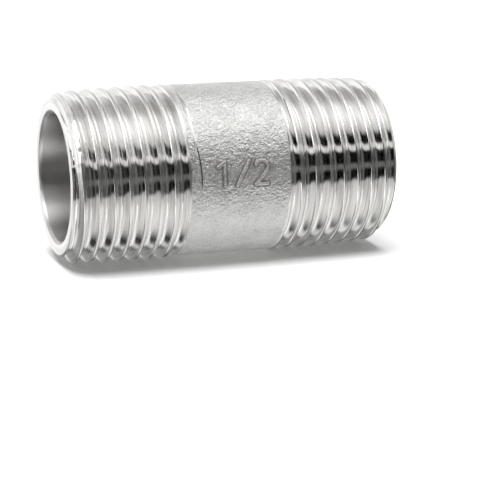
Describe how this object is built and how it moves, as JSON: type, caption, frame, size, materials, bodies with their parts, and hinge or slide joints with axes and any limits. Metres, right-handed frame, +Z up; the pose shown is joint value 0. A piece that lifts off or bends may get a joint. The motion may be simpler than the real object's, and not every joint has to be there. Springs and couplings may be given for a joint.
{
  "type": "threaded pipe nipple",
  "caption": "Short stainless steel pipe nipple with a right-hand taper pipe thread on each end, a plain cast barrel between them and a straight through bore.",
  "frame": {"origin": "on the axis, midway between the two end faces", "axes": "+X along the pipe axis towards the right-hand end, +Z up with the nipple lying on its side, and the raised size mark on the -Y side"},
  "size_m": [0.0406, 0.0212, 0.021],
  "materials": {
    "stainless_steel": "machined bright on the threads, end faces and bore; matt and finely grained, as cast and blasted, on the barrel"
  },
  "bodies": {
    "root": {"nipple_body": "stainless_steel"}
  },
  "joints": []
}
